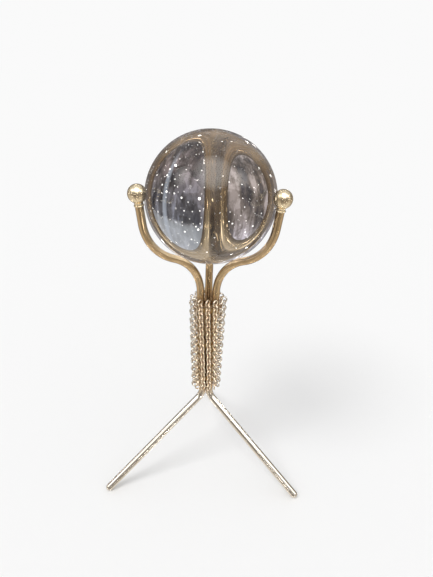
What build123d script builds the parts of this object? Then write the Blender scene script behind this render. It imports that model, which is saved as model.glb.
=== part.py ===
from build123d import *
import math
import os

# Crystal ball on a tripod stand of three bent brass bars, with strands of round-link chain round its stem.
# Millimetres, +Z up. The feet stand on Z = 0 and the stand's axis is the Z axis. Seen along +Y, one bar is on
# the left, one is on the right and one is behind.

os.makedirs("parts", exist_ok=True)

# Ball
BALL_D = 80.0
SEAT_GAP = 0.15  # between the ball at rest and each bar

# Bars: a round bar each, bent in its own upright plane
BAR_D = 5.0
BAR_ANGLES = {"left": 210.0, "right": -30.0, "rear": 90.0}  # direction of each bar from the axis, from +X
LEG_SLOPE = 38.3  # below the horizontal
LEG_REACH = 76.4  # from the axis to the middle of a foot's dome
BEND_R = 8.0
WAIST_R = 2.95  # from the axis to a bar's centre line where the three are closest
STEM_L = 81.0
STEM_FLARE = 2.1  # each stem leans out by this much
OGEE_R = 29.2  # shoulder that the ball lies on
OGEE_TURN = 67.0
BOWL_R = 31.1
ARM_LEAN = 7.5  # of the straight end of the arm, outwards
ARM_END_L = 11.0

# Finial, collar and stud on the end of each arm
COLLAR_D = 6.0
COLLAR_H = 1.0
FINIAL_D = 11.0
FINIAL_STEM_L = 6.4  # from the finial's lower face to the middle of its ball
NECK_FILLET_R = 2.0
STUD_D = 3.0
STUD_L = 12.0
BORE_D = 3.1
BORE_L = 6.5

# Domed tip on a spigot at the end of each leg
TIP_WALL_L = 1.2
TIP_FLAT = 0.25  # ground off the dome where it stands
SPIGOT_D = 3.0
SPIGOT_L = 2.0
TIP_BORE_L = 2.2
EDGE_BREAK = 0.2

# Chain round the stem
STRANDS = 13
LINKS = 23
LINK_D = 5.2
WIRE_D = 1.0
LINK_PITCH = 3.115
LINK_LEAN = 36.0  # between a link's plane and the way out from the stem
LINK_SWAY = 2.0  # most that one link is turned from that
SWAY_STEP = 100.0  # spreads the sway unevenly from link to link
FIRST_LINK_H = 6.2  # middle of the lowest links above the waist
TWIST = 0.6  # of a strand spacing, from top to bottom
SLEEVE_GAP = 0.8  # room under the chain for the bands
HOOP_WIRE_D = 0.5
HOOP_ROW = 1  # a hoop threads the second link from each end
HOOP_INSET = 0.4  # of the hoop towards the bars, from the middle of those links
PIN_D = 0.4

# Bands that tie the three bars under the chain
BAND_T = 0.2
BAND_H = 3.0
BAND_FIT = 0.02
BAND_HEIGHTS = {"lower": 10.0, "middle": 38.0, "upper": 66.0}  # above the waist

bar_r = BAR_D / 2
slope = math.radians(LEG_SLOPE)
flare = math.radians(STEM_FLARE)
lean = math.radians(ARM_LEAN)

# The leg runs from the middle of the foot's dome up to the bend, and the bend ends at the waist.
foot_z = bar_r - TIP_FLAT
leg_top_x = WAIST_R + BEND_R * (math.cos(flare) - math.sin(slope))
leg_l = (LEG_REACH - leg_top_x) / math.cos(slope)
waist_z = foot_z + leg_l * math.sin(slope) + BEND_R * (math.sin(flare) + math.cos(slope))

# The ball lies on the three ogee shoulders.
stem_top_x = WAIST_R + STEM_L * math.sin(flare)
stem_top_z = waist_z + STEM_L * math.cos(flare)
ogee_x = stem_top_x + OGEE_R * math.cos(flare)
ogee_z = stem_top_z - OGEE_R * math.sin(flare)
seat_reach = BALL_D / 2 + SEAT_GAP + bar_r + OGEE_R
ball_z = ogee_z + math.sqrt(seat_reach**2 - ogee_x**2)

ring_r = (LINK_D - WIRE_D) / 2
link_half_t = ring_r * math.cos(math.radians(LINK_LEAN)) + WIRE_D / 2
strand_offset = bar_r + SLEEVE_GAP + link_half_t  # from a bar's centre line to a strand's
hoop_offset = strand_offset - HOOP_INSET


def turned(shape, angle):
    """The shape, built on the +X side, turned about the axis to its bar's direction."""
    return Rot(0, 0, angle) * shape


def arm_direction():
    return Vector(math.sin(lean), 0, math.cos(lean))


def leg_direction():
    """Down along the leg, towards the foot."""
    return Vector(math.cos(slope), 0, -math.sin(slope))


def bar_route():
    """Centre line of a bar, from the foot end up to the end of the arm."""
    joint = Vector(LEG_REACH, 0, foot_z) - leg_direction() * TIP_WALL_L
    with BuildLine(Plane.XZ) as route:
        leg = PolarLine((joint.X, joint.Z), leg_l - TIP_WALL_L, 180 - LEG_SLOPE)
        bend = JernArc(leg @ 1, leg % 1, BEND_R, LEG_SLOPE - 90 - STEM_FLARE)
        stem = PolarLine(bend @ 1, STEM_L, 90 - STEM_FLARE)
        ogee = JernArc(stem @ 1, stem % 1, OGEE_R, -OGEE_TURN)
        bowl = JernArc(ogee @ 1, ogee % 1, BOWL_R, OGEE_TURN + STEM_FLARE - ARM_LEAN)
        PolarLine(bowl @ 1, ARM_END_L, 90 - ARM_LEAN)
    return route.wire()


def bar(route):
    """Bent bar with a stud bore in its arm and a turned spigot on its leg."""
    start = Plane(origin=route @ 0, z_dir=route % 0)
    rod = sweep(start * Circle(bar_r), path=route)
    bore = Plane(origin=route @ 1, z_dir=-arm_direction()) * Cylinder(
        BORE_D / 2, BORE_L, align=(Align.CENTER, Align.CENTER, Align.MIN)
    )
    spigot = Plane(origin=route @ 0, z_dir=leg_direction()) * Cylinder(
        SPIGOT_D / 2, SPIGOT_L, align=(Align.CENTER, Align.CENTER, Align.MIN)
    )
    return rod - bore + spigot


def tip(route):
    """Hollow domed cap with a small ground flat that stands on Z = 0."""
    wall = Cylinder(bar_r, TIP_WALL_L, align=(Align.CENTER, Align.CENTER, Align.MIN))
    wall = chamfer(wall.edges().filter_by(GeomType.CIRCLE).sort_by(Axis.Z)[0], EDGE_BREAK)
    dome = Pos(0, 0, TIP_WALL_L) * Sphere(bar_r)
    dome -= Cylinder(BAR_D, TIP_WALL_L, align=(Align.CENTER, Align.CENTER, Align.MIN))
    dome -= Pos(0, 0, -BAR_D) * Cylinder(BAR_D, BAR_D, align=(Align.CENTER, Align.CENTER, Align.MIN))
    bore = Cylinder(BORE_D / 2, TIP_BORE_L, align=(Align.CENTER, Align.CENTER, Align.MIN))
    cap = Plane(origin=route @ 0, z_dir=leg_direction()) * (wall + dome - bore)
    ground = Pos(LEG_REACH, 0, 0) * Box(
        4 * BAR_D, 4 * BAR_D, BAR_D, align=(Align.CENTER, Align.CENTER, Align.MAX)
    )
    return cap - ground


def arm_end(route, height):
    """Plane across the arm, this far beyond the end of the bar."""
    return Plane(origin=(route @ 1) + arm_direction() * height, z_dir=arm_direction())


def collar(route):
    """Turned ring with a half-round edge, between bar and finial."""
    edge_r = COLLAR_H / 2
    with BuildSketch(Plane.XZ) as section:
        with BuildLine():
            flat_r = COLLAR_D / 2 - edge_r
            Polyline((flat_r, 0), (BORE_D / 2, 0), (BORE_D / 2, COLLAR_H), (flat_r, COLLAR_H))
            ThreePointArc((flat_r, 0), (COLLAR_D / 2, edge_r), (flat_r, COLLAR_H))
        make_face()
    return arm_end(route, 0) * revolve(section.sketch, Axis.Z)


def finial(route):
    """Ball finial whose neck flows down to the width of the bar, with a blind bore from below."""
    ball_r = FINIAL_D / 2
    neck_z = FINIAL_STEM_L - math.sqrt((ball_r + NECK_FILLET_R) ** 2 - (bar_r + NECK_FILLET_R) ** 2)
    turn = math.degrees(math.acos((bar_r + NECK_FILLET_R) / (ball_r + NECK_FILLET_R)))
    with BuildSketch(Plane.XZ) as section:
        with BuildLine():
            side = Polyline((0, FINIAL_STEM_L + ball_r), (0, 0), (bar_r, 0), (bar_r, neck_z))
            neck = JernArc(side @ 1, (0, 1), NECK_FILLET_R, -turn)
            JernArc(neck @ 1, neck % 1, ball_r, 90 + turn)
        make_face()
    bore = Cylinder(BORE_D / 2, BORE_L, align=(Align.CENTER, Align.CENTER, Align.MIN))
    return arm_end(route, COLLAR_H) * (revolve(section.sketch, Axis.Z) - bore)


def stud(route):
    rod = chamfer(Cylinder(STUD_D / 2, STUD_L).edges().filter_by(GeomType.CIRCLE), EDGE_BREAK)
    return arm_end(route, COLLAR_H / 2) * rod


def bundle_r(z):
    """From the axis to a bar's centre line at this height of the stem."""
    return WAIST_R + (z - waist_z) * math.tan(flare)


def around_bundle(share, radius, offset):
    """Point and outward angle at a share of the way round three bars, at an offset from their centre lines.

    The way round is a triangle with round corners, from the middle of its front side."""
    flat = radius * math.sin(math.pi / 3)
    corner = offset * 2 * math.pi / 3
    third = 2 * flat + corner
    side, along = divmod((share % 1) * 3 * third, third)
    out = -90 + 120 * side
    if along < flat:
        return polar(radius / 2 + offset, out) + polar(along, out + 90), out
    if along < flat + corner:
        angle = out + math.degrees((along - flat) / offset)
        return polar(radius, out + 60) + polar(offset, angle), angle
    back = polar(third - along, out + 30)
    return polar(radius / 2 + offset, out + 120) + back, out + 120


def polar(length, angle):
    return Vector(length * math.cos(math.radians(angle)), length * math.sin(math.radians(angle)), 0)


def bundle_outline(z, offset):
    """The triangle with round corners as a closed wire at this height."""
    radius = bundle_r(z)
    flat = radius * math.sin(math.pi / 3)
    edges = []
    for side in range(3):
        out = -90 + 120 * side
        middle = polar(radius / 2 + offset, out)
        edges.append(Line(middle + polar(flat, out - 90), middle + polar(flat, out + 90)))
        corner = polar(radius, out + 60)
        ends = (corner + polar(offset, out), corner + polar(offset, out + 120))
        edges.append(ThreePointArc(ends[0], corner + polar(offset, out + 60), ends[1]))
    return Pos(0, 0, z) * Wire(edges)


def link_z(row):
    return waist_z + FIRST_LINK_H + row * LINK_PITCH


def strand(number):
    """One strand of links, each across the next, lying along the bars from end to end of the sleeve."""
    links = []
    for row in range(LINKS):
        z = link_z(row)
        twist = TWIST * (1 - row / (LINKS - 1))
        place, out = around_bundle((number + twist) / STRANDS, bundle_r(z), strand_offset)
        sway = LINK_SWAY * math.sin(math.radians(SWAY_STEP * (number * LINKS + row)))
        turn = LINK_LEAN if row % 2 else -LINK_LEAN
        face = polar(1, out + turn + 90 + sway)
        links.append(Plane(origin=place + Vector(0, 0, z), z_dir=face) * Torus(ring_r, WIRE_D / 2))
    return Compound(children=links)


def hoop(z):
    """Wire ring threaded through one row of links."""
    outline = bundle_outline(z, hoop_offset)
    section = Plane(origin=outline @ 0, z_dir=outline % 0) * Circle(HOOP_WIRE_D / 2)
    return sweep(section, path=outline)


def hoop_pins(bars, ring, z):
    """Short pin from each bar out to the top hoop, brazed at both ends."""
    rod = Pos(bundle_r(z), 0, z) * Rot(0, 90, 0) * Cylinder(
        PIN_D / 2, hoop_offset, align=(Align.CENTER, Align.CENTER, Align.MIN)
    )
    pins = [turned(rod, angle) - bars[side] - ring for side, angle in BAR_ANGLES.items()]
    return Compound(children=pins)


def band(z):
    """Thin flat strap drawn tight round the three bars."""
    z_top = z + BAND_H
    inside = bar_r + BAND_FIT
    outer = make_face(bundle_outline(z_top, inside + BAND_T))
    inner = make_face(bundle_outline(z_top, inside))
    return extrude(outer - inner, BAND_H, dir=(0, 0, -1))


def main():
    route = bar_route()
    parts = {"crystal_ball": Pos(0, 0, ball_z) * Sphere(BALL_D / 2)}
    bars = {side: turned(bar(route), angle) for side, angle in BAR_ANGLES.items()}
    for side, angle in BAR_ANGLES.items():
        parts[f"bar_{side}"] = bars[side]
        parts[f"tip_{side}"] = turned(tip(route), angle)
        parts[f"collar_{side}"] = turned(collar(route), angle)
        parts[f"finial_{side}"] = turned(finial(route), angle)
        parts[f"stud_{side}"] = turned(stud(route), angle)
    for number in range(STRANDS):
        parts[f"chain_strand_{number + 1:02d}"] = strand(number)
    top_z = link_z(LINKS - 1 - HOOP_ROW)
    parts["chain_hoop_top"] = hoop(top_z)
    parts["hoop_pins"] = hoop_pins(bars, parts["chain_hoop_top"], top_z)
    parts["chain_hoop_bottom"] = hoop(link_z(HOOP_ROW))
    for name, height in BAND_HEIGHTS.items():
        parts[f"binding_band_{name}"] = band(waist_z + height)

    for name, shape in parts.items():
        export_step(shape, f"parts/{name}.step")
    print(f"waist {waist_z:.2f}, ball centre {ball_z:.2f}")


main()
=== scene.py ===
import math

import bpy
from mathutils import Matrix, Vector


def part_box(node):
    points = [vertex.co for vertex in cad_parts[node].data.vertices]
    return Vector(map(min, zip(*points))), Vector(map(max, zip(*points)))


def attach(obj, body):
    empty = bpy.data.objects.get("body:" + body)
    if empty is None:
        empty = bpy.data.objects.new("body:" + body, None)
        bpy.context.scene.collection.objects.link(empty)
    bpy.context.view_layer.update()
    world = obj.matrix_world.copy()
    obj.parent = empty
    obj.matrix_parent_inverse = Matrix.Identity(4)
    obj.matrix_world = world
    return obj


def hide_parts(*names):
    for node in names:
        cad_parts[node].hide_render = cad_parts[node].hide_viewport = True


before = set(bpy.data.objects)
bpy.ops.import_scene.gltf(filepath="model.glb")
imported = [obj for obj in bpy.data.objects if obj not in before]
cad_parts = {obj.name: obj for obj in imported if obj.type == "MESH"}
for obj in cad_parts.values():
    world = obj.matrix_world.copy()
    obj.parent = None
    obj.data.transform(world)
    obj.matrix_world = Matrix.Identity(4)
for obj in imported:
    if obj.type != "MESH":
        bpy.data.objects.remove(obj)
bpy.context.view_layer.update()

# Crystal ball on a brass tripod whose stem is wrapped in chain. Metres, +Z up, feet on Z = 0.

# Bars, as the CAD lays them out
BAR_D = 0.005
WAIST_R = 0.00295  # from the stand's axis to each bar's centre line
STEM_FLARE = math.radians(2.1)
BAND_ABOVE_WAIST = 0.010

# Chain, as the CAD lays it out. Angles in degrees
STRANDS = 13
LINKS = 23
LINK_D = 0.0052
WIRE_D = 0.001
RING_R = (LINK_D - WIRE_D) / 2
LINK_PITCH = 0.003115
LINK_LEAN = 36.0  # to one side and the other by turns
LINK_SWAY = 2.0
SWAY_STEP = 100.0
SEAM_STEP = 300.0
TWIST = 0.6  # how far a strand slants round the stem, in strands
SLEEVE_GAP = 0.0008
STRAND_OFFSET = BAR_D / 2 + SLEEVE_GAP + WIRE_D / 2 + RING_R * math.cos(math.radians(LINK_LEAN))
LINK_STEPS = 14  # round a link
WIRE_SIDES = 6
SEAM_TURN = math.radians(1.5)  # hairline where a link's wire ends meet
SHARP_EDGE = math.radians(65)

BALL_DIVISIONS = 6
FLOOR_SIZE = 8

# Camera, from the middle of the ball
CAMERA_PLACE = Vector((0.007, -0.29363, 0.08689))
CAMERA_YAW = 0.006
CAMERA_PITCH = 0.4666
CAMERA_ROLL = 0.0357
LENS_IN_FRAME_HEIGHTS = 499.5 / 577
CAMERA_NEAR = 0.01

# Light
LAMP_FROM = Vector((-0.5, -0.45, 1.0))
LAMP_STRENGTH = 1.1
LAMP_ANGLE = math.radians(28)
FILL_LIGHT = (0.77, 0.77, 0.77)
BACKDROP = (0.955, 0.955, 0.955)
# Lit panels that the metal mirrors: direction, half width and soft edge in degrees, strength
PANELS = [
    (Vector((0.05, -0.52, 0.85)), 15, 17, 3.4),
    (Vector((-0.70, -0.33, 0.62)), 5, 11, 2.6),
    (Vector((0.72, -0.30, 0.62)), 5, 11, 2.6),
]
PANEL_COLOUR = (1.0, 0.99, 0.96)
# Small lamps: how closely they are scattered, size of each in its cell, strength of the brightest
MIRRORED_LAMPS = (6.0, 0.15, 26.0)
LAMPS_BEHIND = [(11.0, 0.14, 6.0), (27.0, 0.17, 3.0)]
SMALL_LAMP_COLOUR = (1.0, 0.97, 0.92)
SMALL_LAMP_CORE = 0.7  # of its size
DIMMEST_CELL = 0.35
# Pale doorway seen through the glass: compass direction, half width and soft edge in radians
DOORWAY = (0.49, 0.018, 0.03)
DOORWAY_COLOUR = (0.46, 0.50, 0.57)

# Colours of the surroundings by height, from straight down (0) to straight up (1)
MIRRORED_BY_HEIGHT = [
    (0.0, (0.85, 0.82, 0.78)),
    (0.25, (0.64, 0.60, 0.55)),
    (0.40, (0.47, 0.43, 0.38)),
    (0.52, (0.33, 0.30, 0.27)),
    (0.65, (0.40, 0.39, 0.37)),
    (0.80, (0.58, 0.575, 0.56)),
    (0.92, (0.72, 0.72, 0.72)),
    (1.0, (0.8, 0.8, 0.8)),
]
GREY_SIDE_BY_HEIGHT = [
    (0.0, (0.09, 0.075, 0.07)),
    (0.24, (0.10, 0.08, 0.075)),
    (0.36, (0.09, 0.085, 0.09)),
    (0.475, (0.085, 0.09, 0.105)),
    (0.495, (0.31, 0.325, 0.345)),
    (0.72, (0.42, 0.44, 0.48)),
    (0.86, (1.4, 1.42, 1.46)),
]
BROWN_SIDE_BY_HEIGHT = [
    (0.0, (0.12, 0.10, 0.09)),
    (0.30, (0.20, 0.17, 0.15)),
    (0.46, (0.15, 0.13, 0.12)),
    (0.60, (0.24, 0.22, 0.23)),
    (0.78, (0.42, 0.43, 0.48)),
    (0.88, (1.4, 1.42, 1.46)),
]
# Shades that multiply those colours
UPRIGHT_SHADES = [(0.36, (0.48, 0.45, 0.42)), (0.48, (0.95, 0.93, 0.90)), (0.62, (1.6, 1.58, 1.54))]
PATCH_SHADES = [(0.0, (0.5, 0.52, 0.56)), (0.5, (0.92, 0.88, 0.85)), (1.0, (1.5, 1.5, 1.55))]
STREAK_SHADES = [(0.38, (0.3, 0.3, 0.36)), (0.5, (0.9, 0.86, 0.82)), (0.60, (2.3, 2.3, 2.4))]
UNCHANGED = (1, 1, 1)
METAL_THROUGH_GLASS = ((0.50, 0.47, 0.47), (1.08, 1.12, 1.22))  # below and above the horizon
# Dark sides of the hall: as the metal mirrors it, and as seen through the glass
VIEWER_SIDE = (0.16, 0.14, 0.13)
FAR_SIDE = (0.12, 0.105, 0.095)
NEAR_SIDE_SHADE = (0.15, 0.14, 0.15)
# How fine the patterns of the hall are
STRIP_SCALE = 1.9
BLOCK_SCALE = 6.5
STREAK_SCALE = 7.0

# Metals: bright and dull tone
# Painted light: the legs' plate is paler than the arms' gold, standing for the bright table and ceiling
# they mirror
LEG_PLATE_PAINTED_LIGHT = ((0.94, 0.90, 0.83), (0.84, 0.78, 0.69))
WARM_GOLD = ((0.66, 0.50, 0.31), (0.53, 0.39, 0.22))
FINIAL_GOLD = ((0.88, 0.77, 0.57), (0.78, 0.64, 0.43))
CHAIN_GOLD = ((0.97, 0.88, 0.75), (0.86, 0.73, 0.56))
# Painted sheen: a paler, silvery tone for the chain's left and right sides
CHAIN_SIDE_SHEEN = ((0.96, 0.93, 0.88), (0.84, 0.79, 0.72))
# Painted shade: a dark tone that makes the hoops inside the chain read as shadowed
SHADED_WIRE = ((0.42, 0.28, 0.17), (0.30, 0.19, 0.11))
# Painted shade: the bands under the chain take a browner tone like the bars' painted shade there
BAND_SHADED_BRASS = ((0.66, 0.47, 0.24), (0.52, 0.35, 0.17))
STEEL = ((0.62, 0.63, 0.65), (0.5, 0.5, 0.52))
# Painted shade: a browner tone for the bars where the chain covers them
SLEEVE_PAINTED_SHADE = (0.50, 0.36, 0.23)
# Their patterns: how fine each is, and from where to where in its noise it fades in
CLOUD_SCALE = 160
BAR_CLOUD_SCALE = 150
CLOUD_REACH = (0.35, 0.68)
FLECK_SCALE = 900
FLECK_REACH = (0.60, 0.74)
BAR_FLECK_REACH = (0.62, 0.76)
LINE_SCALE = 1400
BAR_LINE_SCALE = 1300
ALONG_BARS = (1, 1, 0.12)
LINE_DEPTH = 0.00002

GLASS_IOR = 1.52
SMEAR_SCALE = 70
SMEAR_TINTS = [(0.35, (0.985, 0.99, 1.0)), (0.7, (0.95, 0.965, 0.97))]
FLOOR_GREY = (0.9, 0.9, 0.9, 1)


def middle(node):
    low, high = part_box(node)
    return (low + high) / 2


def waist_height():
    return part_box("binding_band_lower")[0].z - BAND_ABOVE_WAIST


def clear_selection():
    for item in bpy.context.selected_objects:
        item.select_set(False)
    bpy.context.view_layer.objects.active = None


def select_only(item):
    clear_selection()
    item.select_set(True)
    bpy.context.view_layer.objects.active = item


def place_in_mesh(item):
    """Moves an object's place, turn and scale into its mesh."""
    select_only(item)
    bpy.ops.object.transform_apply(location=True, rotation=True, scale=True)


# Materials


class Nodes:
    """Shader nodes, laid down one by one."""

    def __init__(self, tree):
        self.tree = tree
        self.place = None

    def add(self, kind, **settings):
        node = self.tree.nodes.new(kind)
        for name, value in settings.items():
            setattr(node, name, value)
        return node

    def link(self, source, target):
        self.tree.links.new(source, target)

    def noise(self, scale, detail=3.0, roughness=0.55, stretch=(1, 1, 1), source=None):
        mapping = self.add("ShaderNodeMapping")
        mapping.inputs["Scale"].default_value = stretch
        self.link(source or self.place, mapping.inputs["Vector"])
        node = self.add("ShaderNodeTexNoise")
        node.inputs["Scale"].default_value = scale
        node.inputs["Detail"].default_value = detail
        node.inputs["Roughness"].default_value = roughness
        self.link(mapping.outputs[0], node.inputs["Vector"])
        return node.outputs["Fac"]

    def spread(self, source, low, high, to_low=0.0, to_high=1.0):
        node = self.add("ShaderNodeMapRange")
        node.inputs["From Min"].default_value = low
        node.inputs["From Max"].default_value = high
        node.inputs["To Min"].default_value = to_low
        node.inputs["To Max"].default_value = to_high
        self.link(source, node.inputs["Value"])
        return node.outputs["Result"]

    def ramp(self, source, stops):
        node = self.add("ShaderNodeValToRGB")
        band = node.color_ramp
        while len(band.elements) < len(stops):
            band.elements.new(0.5)
        for element, (position, colour) in zip(band.elements, stops):
            element.position = position
            element.color = (*colour, 1)
        self.link(source, node.inputs["Fac"])
        return node.outputs["Color"]

    def mix(self, share, first, second, kind="MIX"):
        node = self.add("ShaderNodeMix", data_type="RGBA", blend_type=kind)
        if hasattr(share, "links"):
            self.link(share, node.inputs["Factor"])
        else:
            node.inputs["Factor"].default_value = share
        for socket, value in (("A", first), ("B", second)):
            found = [s for s in node.inputs if s.name == socket and s.type == "RGBA"][0]
            if hasattr(value, "links"):
                self.link(value, found)
            else:
                found.default_value = (*value, 1)
        return [s for s in node.outputs if s.type == "RGBA"][0]

    def sums(self, operation, first, second):
        node = self.add("ShaderNodeMath", operation=operation)
        for socket, value in zip(node.inputs, (first, second)):
            if hasattr(value, "links"):
                self.link(value, socket)
            else:
                socket.default_value = value
        return node.outputs[0]

    def times(self, first, second):
        return self.sums("MULTIPLY", first, second)

    def shaded(self, colour, shade):
        return self.mix(1.0, colour, shade, "MULTIPLY")

    def lit(self, colour, light):
        return self.mix(1.0, colour, light, "ADD")

    def split(self, source):
        node = self.add("ShaderNodeSeparateXYZ")
        self.link(source, node.inputs[0])
        return node.outputs


class Recipe(Nodes):
    """A material whose patterns lie on Object coordinates."""

    def __init__(self, name):
        self.material = bpy.data.materials.new(name)
        self.material.use_nodes = True
        super().__init__(self.material.node_tree)
        self.shader = self.tree.nodes["Principled BSDF"]
        self.place = self.add("ShaderNodeTexCoord").outputs["Object"]

    def bump(self, height, distance, strength=1.0):
        node = self.add("ShaderNodeBump")
        node.inputs["Distance"].default_value = distance
        node.inputs["Strength"].default_value = strength
        self.link(height, node.inputs["Height"])
        self.link(node.outputs["Normal"], self.shader.inputs["Normal"])


class Metal(Recipe):
    """Polished plate: cloudy tone, small stains, and fine drawn lines in the polish."""

    def __init__(self, name, cloud_scale=CLOUD_SCALE):
        super().__init__(name)
        self.shader.inputs["Metallic"].default_value = 1.0
        self.cloud = self.noise(cloud_scale, detail=4, roughness=0.6)

    def tone(self, plate):
        return self.mix(self.spread(self.cloud, *CLOUD_REACH), *plate)

    def colour(self, tone, stain, stained, flecks=FLECK_REACH):
        """The tone with small stains on it, which cover it by the share that stained says."""
        fleck = self.noise(FLECK_SCALE, detail=3, roughness=0.7)
        tone = self.mix(self.spread(fleck, *flecks, 0, stained), tone, stain)
        self.link(tone, self.shader.inputs["Base Color"])

    def polish(self, lines, worn, reach, rough, relief):
        """Roughness that follows the lines and the wear, and the relief of the lines."""
        self.link(self.spread(self.times(worn, lines), *reach, *rough), self.shader.inputs["Roughness"])
        self.bump(lines, LINE_DEPTH, relief)


def polished_metal(name, plate, stain, rough=(0.07, 0.18), stained=0.4):
    """One plate all over, for the smaller pieces."""
    made = Metal(name)
    made.colour(made.tone(plate), stain, stained)
    worn = made.spread(made.cloud, 0.3, 0.75, 0.6, 1.0)
    lines = made.noise(LINE_SCALE, detail=2, roughness=0.5)
    made.polish(lines, worn, reach=(0.15, 0.6), rough=rough, relief=0.35)
    return made.material


def bar_metal():
    """Bars: warm gold above; below the waist a paler plate, painted light for the bright table and
    ceiling the legs mirror; browner painted shade where the chain covers them.
    """
    waist_z = waist_height()
    sleeve_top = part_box("chain_strand_01")[1].z
    made = Metal("bar_brass", BAR_CLOUD_SCALE)
    height = made.split(made.place)["Z"]
    above_waist = made.spread(height, waist_z - 0.004, waist_z + 0.004)
    # Painted light: paler plate below the waist, warm gold above
    tone = made.mix(above_waist, made.tone(LEG_PLATE_PAINTED_LIGHT), made.tone(WARM_GOLD))
    # Painted shade where the chain covers the bars, mottled by the cloud
    in_sleeve = made.times(
        made.spread(height, waist_z, waist_z + 0.006),
        made.spread(height, sleeve_top + 0.002, sleeve_top - 0.003),
    )
    sleeve_shade = made.times(in_sleeve, made.spread(made.cloud, 0.25, 0.6, 0.55, 0.9))
    tone = made.mix(sleeve_shade, tone, SLEEVE_PAINTED_SHADE)
    made.colour(tone, stain=(0.34, 0.24, 0.15), stained=0.22, flecks=BAR_FLECK_REACH)
    lines = made.noise(BAR_LINE_SCALE, detail=2, roughness=0.5, stretch=ALONG_BARS)
    made.polish(lines, made.cloud, reach=(0.1, 0.42), rough=(0.07, 0.19), relief=0.3)
    return made.material


def chain_plate():
    """Chain: champagne gold in front and behind, with a paler silvery painted sheen at the sides of the
    stem.
    """
    made = Metal("chain_plate")
    sideways = made.sums("ABSOLUTE", made.split(made.place)["X"], 0.0)
    # Painted sheen: silvery toward the left and right sides of the stem
    sheen_at_sides = made.spread(sideways, 0.0055, 0.010)
    tone = made.mix(sheen_at_sides, made.tone(CHAIN_GOLD), made.tone(CHAIN_SIDE_SHEEN))
    made.colour(tone, stain=(0.42, 0.28, 0.19), stained=0.4)
    lines = made.noise(LINE_SCALE, detail=2, roughness=0.5)
    made.polish(lines, made.cloud, reach=(0.1, 0.42), rough=(0.12, 0.22), relief=0.3)
    return made.material


def clear_crystal():
    """Colourless solid glass with the faintest wiping haze on its surface."""
    made = Recipe("clear_crystal")
    shader = made.shader
    shader.inputs["IOR"].default_value = GLASS_IOR
    shader.inputs["Transmission Weight"].default_value = 1.0
    smear = made.noise(SMEAR_SCALE, detail=5, roughness=0.6, stretch=(1, 1, 3))
    made.link(made.ramp(smear, SMEAR_TINTS), shader.inputs["Base Color"])
    made.link(made.spread(smear, 0.55, 0.8, 0.0, 0.02), shader.inputs["Roughness"])
    return made.material


def paint(item, material):
    item.data.materials.clear()
    item.data.materials.append(material)


# Pieces


def crystal_ball(material):
    """Ball from a cube that is divided and swelled out, so that it has no poles."""
    low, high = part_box("crystal_ball")
    size = high.z - low.z
    clear_selection()
    bpy.ops.mesh.primitive_cube_add(size=size, location=middle("crystal_ball"))
    ball = bpy.context.active_object
    ball.name = "clear_ball"
    ball.data.name = ball.name
    divide = ball.modifiers.new("divide", "SUBSURF")
    divide.subdivision_type = "SIMPLE"
    divide.levels = BALL_DIVISIONS
    divide.render_levels = divide.levels
    bpy.ops.object.modifier_apply(modifier="divide")
    swell = ball.modifiers.new("swell", "CAST")
    swell.factor = 1.0
    swell.use_radius_as_size = False
    swell.size = size / 2
    bpy.ops.object.modifier_apply(modifier="swell")
    bpy.ops.object.shade_smooth()
    place_in_mesh(ball)
    paint(ball, material)
    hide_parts("crystal_ball")
    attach(ball, "ball")


def polar(length, angle):
    turn = math.radians(angle)
    return Vector((length * math.cos(turn), length * math.sin(turn), 0))


def around_bundle(share, radius, offset):
    """Point and outward angle at a share of the way round the three stems, off their centre lines."""
    flat = radius * math.sin(math.pi / 3)
    corner = offset * 2 * math.pi / 3
    third = 2 * flat + corner
    side, along = divmod((share % 1) * 3 * third, third)
    out = -90 + 120 * side
    if along < flat:
        return polar(radius / 2 + offset, out) + polar(along, out + 90), out
    if along < flat + corner:
        angle = out + math.degrees((along - flat) / offset)
        return polar(radius, out + 60) + polar(offset, angle), angle
    return polar(radius / 2 + offset, out + 120) + polar(third - along, out + 30), out + 120


def plain_link():
    """One round link: a wire spun round until its two ends nearly meet, and closed there."""
    clear_selection()
    bpy.ops.mesh.primitive_circle_add(
        vertices=WIRE_SIDES, radius=WIRE_D / 2, location=(RING_R, 0, 0), rotation=(math.pi / 2, 0, 0)
    )
    link = bpy.context.active_object
    link.name = "link"
    place_in_mesh(link)
    bpy.ops.object.mode_set(mode="EDIT")
    bpy.ops.mesh.select_all(action="SELECT")
    turn = math.tau - SEAM_TURN
    bpy.ops.mesh.spin(steps=LINK_STEPS, angle=turn, center=(0, 0, 0), axis=(0, 0, 1))
    bpy.ops.mesh.select_mode(type="EDGE")
    bpy.ops.mesh.select_all(action="DESELECT")
    bpy.ops.mesh.select_non_manifold()
    bpy.ops.mesh.edge_face_add()
    bpy.ops.mesh.select_all(action="SELECT")
    bpy.ops.mesh.normals_make_consistent(inside=False)
    bpy.ops.object.mode_set(mode="OBJECT")
    bpy.ops.object.shade_smooth_by_angle(angle=SHARP_EDGE)
    return link


def link_copy(link, place, face, seam):
    """A link stood on edge at a place, facing and turned in its own ring as told."""
    copy = link.copy()
    copy.data = link.data.copy()
    bpy.context.collection.objects.link(copy)
    copy.matrix_world = (
        Matrix.Translation(place)
        @ Matrix.Rotation(face, 4, "Z")
        @ Matrix.Rotation(math.pi / 2, 4, "Y")
        @ Matrix.Rotation(seam, 4, "Z")
    )
    return copy


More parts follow.
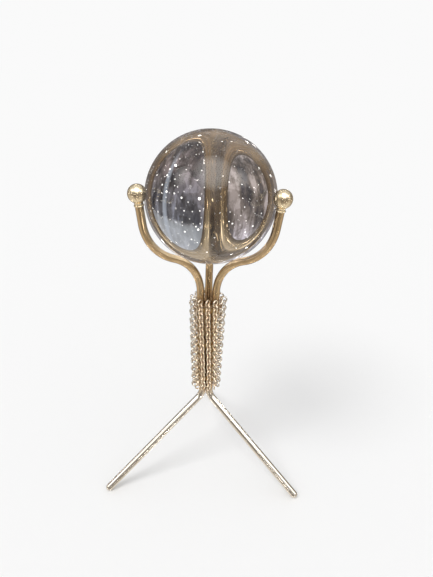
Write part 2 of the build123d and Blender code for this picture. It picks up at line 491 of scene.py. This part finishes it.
def chain_strand(number, link, material):
    """A strand of links where the CAD has them, each across the next."""
    name = f"chain_strand_{number + 1:02d}"
    first_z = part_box(name)[0].z + LINK_D / 2
    waist_z = waist_height()
    copies = []
    for row in range(LINKS):
        z = first_z + row * LINK_PITCH
        radius = WAIST_R + (z - waist_z) * math.tan(STEM_FLARE)
        twist = TWIST * (1 - row / (LINKS - 1))
        place, out = around_bundle((number + twist) / STRANDS, radius, STRAND_OFFSET)
        count = number * LINKS + row
        sway = LINK_SWAY * math.sin(math.radians(SWAY_STEP * count))
        lean = LINK_LEAN if row % 2 else -LINK_LEAN
        face = math.radians(out + 90 + sway + lean)
        seam = math.radians(SEAM_STEP * count)
        copies.append(link_copy(link, place + Vector((0, 0, z)), face, seam))
    clear_selection()
    for copy in copies:
        copy.select_set(True)
    strand = copies[0]
    bpy.context.view_layer.objects.active = strand
    bpy.ops.object.join()
    strand.name = f"links_{number + 1:02d}"
    strand.data.name = strand.name
    place_in_mesh(strand)
    paint(strand, material)
    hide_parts(name)
    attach(strand, "stand")


# Stage


def studio_floor():
    clear_selection()
    bpy.ops.mesh.primitive_plane_add(size=FLOOR_SIZE)
    floor = bpy.context.active_object
    floor.name = "studio_floor"
    made = Recipe("pale_floor")
    made.shader.inputs["Base Color"].default_value = FLOOR_GREY
    made.shader.inputs["Roughness"].default_value = 0.9
    made.shader.inputs["Specular IOR Level"].default_value = 0.0
    paint(floor, made.material)
    floor.visible_glossy = False
    floor.visible_transmission = False


def studio_lamp():
    """Broad even light from high on the left, soft at the shadow's edge."""
    lamp = bpy.data.lights.new("studio_lamp", "SUN")
    lamp.energy = LAMP_STRENGTH
    lamp.angle = LAMP_ANGLE
    item = bpy.data.objects.new("studio_lamp", lamp)
    bpy.context.scene.collection.objects.link(item)
    item.location = LAMP_FROM
    item.rotation_euler = (-LAMP_FROM).to_track_quat("-Z", "Y").to_euler()
    item.visible_glossy = False
    item.visible_transmission = False


def scattered_cells(made, direction, scale, **settings):
    """Cells over every direction: distance from the middle of each, and levels of its own."""
    cells = made.add("ShaderNodeTexVoronoi", **settings)
    cells.inputs["Scale"].default_value = scale
    made.link(direction, cells.inputs["Vector"])
    levels = made.add("ShaderNodeSeparateColor")
    made.link(cells.outputs["Color"], levels.inputs[0])
    return cells.outputs["Distance"], levels.outputs


def small_lamps(made, direction, scale, size, strength):
    """Small round lamps scattered over every direction, each of its own brightness."""
    distance, levels = scattered_cells(made, direction, scale)
    dot = made.spread(distance, size, size * SMALL_LAMP_CORE)
    bright = made.spread(levels[0], DIMMEST_CELL, 1.0, 0.0, strength)
    return made.shaded(made.times(dot, bright), SMALL_LAMP_COLOUR)


def upright_band(made, around, middle_turn, half_width, edge):
    """1 within a band of compass directions, 0 outside it."""
    off = made.sums("ABSOLUTE", made.sums("SUBTRACT", around, middle_turn), 0.0)
    return made.spread(off, half_width + edge, half_width)


def by_height(made, sides, stops):
    return made.ramp(made.spread(sides["Z"], -1, 1), stops)


def reflected_hall(made, direction, sides, around):
    """What the metal mirrors: a pale table and ceiling, a dim horizon broken by upright strips,
    darker toward the viewer and at the far side, one wide lit panel and two narrow ones."""
    height = by_height(made, sides, MIRRORED_BY_HEIGHT)
    turn = made.add("ShaderNodeCombineXYZ")
    made.link(around, turn.inputs["X"])
    strips = made.noise(STRIP_SCALE, detail=2.0, roughness=0.6, source=turn.outputs[0])
    shade = made.ramp(strips, UPRIGHT_SHADES)
    below_ceiling = made.spread(sides["Z"], 0.75, 0.35)
    hall = made.mix(below_ceiling, height, made.shaded(height, shade))
    toward_viewer = made.times(
        made.spread(sides["Y"], -0.55, -0.85),
        made.spread(sides["Z"], 0.35, 0.1),
    )
    hall = made.mix(made.times(toward_viewer, 0.6), hall, VIEWER_SIDE)
    far_side = made.times(
        made.spread(sides["Y"], 0.1, 0.7),
        made.spread(sides["Z"], 0.55, 0.25),
    )
    hall = made.mix(made.times(far_side, 0.7), hall, FAR_SIDE)
    for toward, half, edge, strength in PANELS:
        facing = made.add("ShaderNodeVectorMath", operation="DOT_PRODUCT")
        made.link(direction, facing.inputs[0])
        facing.inputs[1].default_value = toward.normalized()
        outer = math.cos(math.radians(half + edge))
        inner = math.cos(math.radians(half))
        panel = made.spread(facing.outputs["Value"], outer, inner, 0, strength)
        hall = made.lit(hall, made.shaded(panel, PANEL_COLOUR))
    return hall


def hall_behind(made, direction, sides, around):
    """What the glass bends into view: dim and cluttered, grey and lighter above on one side,
    pale overhead, with a pale doorway. The viewer's side is darker still."""
    grey_side = by_height(made, sides, GREY_SIDE_BY_HEIGHT)
    brown_side = by_height(made, sides, BROWN_SIDE_BY_HEIGHT)
    hall = made.mix(made.spread(sides["X"], 0.10, -0.08), grey_side, brown_side)
    levels = scattered_cells(made, direction, BLOCK_SCALE, feature="F1", distance="CHEBYCHEV")[1]
    patches = made.ramp(levels[1], PATCH_SHADES)
    upright = (1, 1, 0.3)
    streaked = made.noise(STREAK_SCALE, detail=5.0, roughness=0.65, stretch=upright, source=direction)
    streaks = made.ramp(streaked, STREAK_SHADES)
    clutter = made.shaded(made.mix(0.75, UNCHANGED, patches), streaks)
    calm = made.times(
        made.spread(sides["Z"], -0.03, 0.02),
        made.spread(sides["X"], 0.0, 0.06),
    )
    clutter = made.mix(made.times(calm, 0.8), clutter, UNCHANGED)
    hall = made.shaded(hall, clutter)
    doorway = made.times(upright_band(made, around, *DOORWAY), made.spread(sides["Z"], -0.75, -0.5))
    hall = made.mix(made.times(doorway, 0.6), hall, DOORWAY_COLOUR)
    near_side = made.shaded(clutter, NEAR_SIDE_SHADE)
    return made.mix(made.spread(sides["Y"], 0.12, -0.2), hall, near_side)


def studio_surroundings():
    """Pale backdrop to look at. Metal and glass see a dimmer hall with small lamps, and metal that is
    seen through the glass mirrors a duller one."""
    world = bpy.data.worlds.new("studio")
    bpy.context.scene.world = world
    world.use_nodes = True
    world.node_tree.nodes.clear()
    world.cycles.sampling_method = "NONE"
    made = Nodes(world.node_tree)
    direction = made.add("ShaderNodeTexCoord").outputs["Generated"]
    sides = made.split(direction)
    around = made.sums("ARCTAN2", sides["X"], sides["Y"])
    mirrored = reflected_hall(made, direction, sides, around)
    mirrored = made.lit(mirrored, small_lamps(made, direction, *MIRRORED_LAMPS))
    behind = hall_behind(made, direction, sides, around)
    for lamps in LAMPS_BEHIND:
        behind = made.lit(behind, small_lamps(made, direction, *lamps))
    path = made.add("ShaderNodeLightPath").outputs
    through_glass = made.spread(path["Transmission Depth"], 0.4, 0.6)
    share = made.mix(made.spread(sides["Z"], -0.25, 0.35), *METAL_THROUGH_GLASS)
    mirrored = made.mix(through_glass, mirrored, made.shaded(mirrored, share))
    shown = made.mix(path["Is Transmission Ray"], mirrored, behind)
    shown = made.mix(path["Is Diffuse Ray"], shown, FILL_LIGHT)
    shown = made.mix(path["Is Camera Ray"], shown, BACKDROP)
    light = made.add("ShaderNodeBackground")
    made.link(shown, light.inputs["Color"])
    made.link(light.outputs[0], made.add("ShaderNodeOutputWorld").inputs["Surface"])


def studio_camera(aim):
    data = bpy.data.cameras.new("camera")
    data.lens = data.sensor_width * LENS_IN_FRAME_HEIGHTS
    data.clip_start = CAMERA_NEAR
    camera = bpy.data.objects.new("camera", data)
    bpy.context.scene.collection.objects.link(camera)
    camera.matrix_world = (
        Matrix.Translation(aim + CAMERA_PLACE)
        @ Matrix.Rotation(CAMERA_YAW, 4, "Z")
        @ Matrix.Rotation(math.pi / 2 - CAMERA_PITCH, 4, "X")
        @ Matrix.Rotation(CAMERA_ROLL, 4, "Z")
    )
    bpy.context.scene.camera = camera


# The object

finial_metal = polished_metal(
    "finial_brass", FINIAL_GOLD, stain=(0.44, 0.31, 0.18), rough=(0.2, 0.3), stained=0.12
)
# The hoops and their pins are painted dark, as shade inside the chain
shaded_hoop_metal = polished_metal("hoop_wire_painted_shade", SHADED_WIRE, stain=(0.14, 0.08, 0.05), rough=(0.3, 0.45))
metals = {
    "bar_": bar_metal(),
    # The tips take the legs' paler plate, painted light
    "tip_": polished_metal("tip_brass", LEG_PLATE_PAINTED_LIGHT, stain=(0.46, 0.38, 0.28)),
    "finial_": finial_metal,
    "collar_": finial_metal,
    "chain_hoop": shaded_hoop_metal,
    "hoop_pins": shaded_hoop_metal,
    # The bands take a browner tone, painted shade under the chain
    "binding_band": polished_metal("band_brass", BAND_SHADED_BRASS, stain=(0.25, 0.15, 0.07)),
    "stud_": polished_metal("stud_steel", STEEL, stain=(0.3, 0.28, 0.26)),
}

crystal_ball(clear_crystal())
chain_metal = chain_plate()
link = plain_link()
for number in range(STRANDS):
    chain_strand(number, link, chain_metal)
bpy.data.objects.remove(link)

for node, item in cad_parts.items():
    for start, metal in metals.items():
        if node.startswith(start):
            paint(item, metal)

studio_floor()
studio_surroundings()
studio_lamp()
studio_camera(middle("crystal_ball"))
bpy.context.scene.view_settings.view_transform = "Standard"
